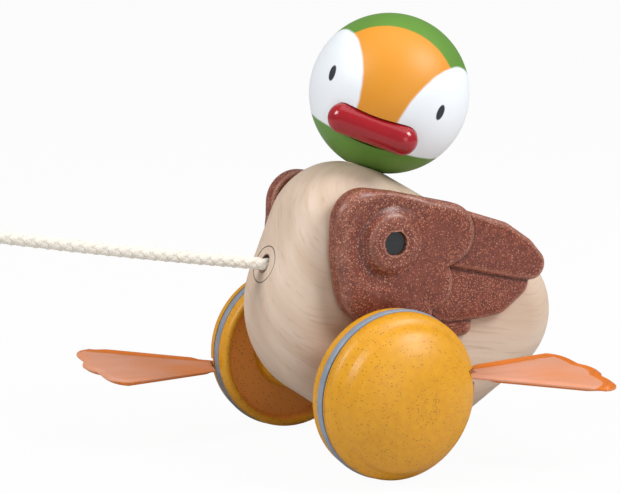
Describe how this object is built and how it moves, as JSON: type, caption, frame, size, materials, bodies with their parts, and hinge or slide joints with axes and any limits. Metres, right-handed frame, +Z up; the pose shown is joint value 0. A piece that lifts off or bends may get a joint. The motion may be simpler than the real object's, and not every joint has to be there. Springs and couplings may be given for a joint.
{
  "type": "pull-along duck",
  "caption": "Wooden pull-along duck on two domed wheels with webbed rubber feet, pivoting wings, a turning ball head and a cotton pull cord.",
  "frame": {"origin": "on the floor, at the centre of the box round the duck without its cord", "axes": "+Z up, the duck faces -Y, +X is its left side and the wheel axle lies along X"},
  "size_m": [0.1224, 0.2302, 0.1349],
  "materials": {
    "rubberwood": "sanded and lacquered, fine grain",
    "yellow_pressed_wood": "stained pressed sawdust, semi-gloss, speckled",
    "brown_pressed_wood": "stained pressed sawdust, semi-gloss, speckled",
    "head_paint": "painted and clear-lacquered ball",
    "bill_paint": "glossy red lacquer",
    "tyre_rubber": "smooth grey rubber band",
    "foot_rubber": "soft matte orange rubber",
    "pin_cap": "dark, satin",
    "pin_steel": "plain",
    "cotton_cord": "braided undyed cotton"
  },
  "bodies": {
    "duck": {"body": "rubberwood", "neck_pin": "pin_steel", "wing_pin_left": "pin_cap", "wing_pin_right": "pin_cap", "cord_plug": "rubberwood", "cord": "cotton_cord", "pull_bead": "rubberwood", "end_knot": "cotton_cord", "roller_pin": "pin_steel"},
    "wheel_set": {"axle": "rubberwood", "wheel_left": "yellow_pressed_wood", "wheel_right": "yellow_pressed_wood", "tyre_left": "tyre_rubber", "tyre_right": "tyre_rubber", "cap_left": "yellow_pressed_wood", "cap_right": "yellow_pressed_wood", "foot_pin_left": "pin_steel", "foot_pin_right": "pin_steel"},
    "left_foot": {"foot_left": "foot_rubber"},
    "right_foot": {"foot_right": "foot_rubber"},
    "left_wing": {"wing_left": "brown_pressed_wood"},
    "right_wing": {"wing_right": "brown_pressed_wood"},
    "head_ball": {"head": "head_paint", "bill": "bill_paint", "neck_dowel": "rubberwood"},
    "roller": {"tail_roller": "yellow_pressed_wood"}
  },
  "joints": [
    {"name": "wheels_roll", "type": "hinge", "parent": "duck", "child": "wheel_set", "pos_m": [0, -0.0029, 0.0257], "axis": [1, 0, 0], "continuous": true},
    {"name": "left_foot_flap", "type": "hinge", "parent": "wheel_set", "child": "left_foot", "pos_m": [0.0405, 0.0104, 0.0303], "axis": [1, 0, 0], "range_deg": [-6, 6], "stiffness_Nm_per_rad": 0.05},
    {"name": "right_foot_flap", "type": "hinge", "parent": "wheel_set", "child": "right_foot", "pos_m": [-0.0405, -0.01621, 0.0211], "axis": [1, 0, 0], "range_deg": [-6, 6], "stiffness_Nm_per_rad": 0.05},
    {"name": "left_wing_flap", "type": "hinge", "parent": "duck", "child": "left_wing", "pos_m": [0.02, 0.0021, 0.0692], "axis": [1, 0, 0], "range_deg": [-10, 20]},
    {"name": "right_wing_flap", "type": "hinge", "parent": "duck", "child": "right_wing", "pos_m": [-0.02, 0.0021, 0.0692], "axis": [1, 0, 0], "range_deg": [-10, 20]},
    {"name": "head_turn", "type": "hinge", "parent": "duck", "child": "head_ball", "pos_m": [0, 0.0147, 0.1104], "axis": [0, 0.3987, 0.9171], "continuous": true},
    {"name": "roller_roll", "type": "hinge", "parent": "duck", "child": "roller", "pos_m": [0, 0.0231, 0.01], "axis": [1, 0, 0], "continuous": true}
  ]
}
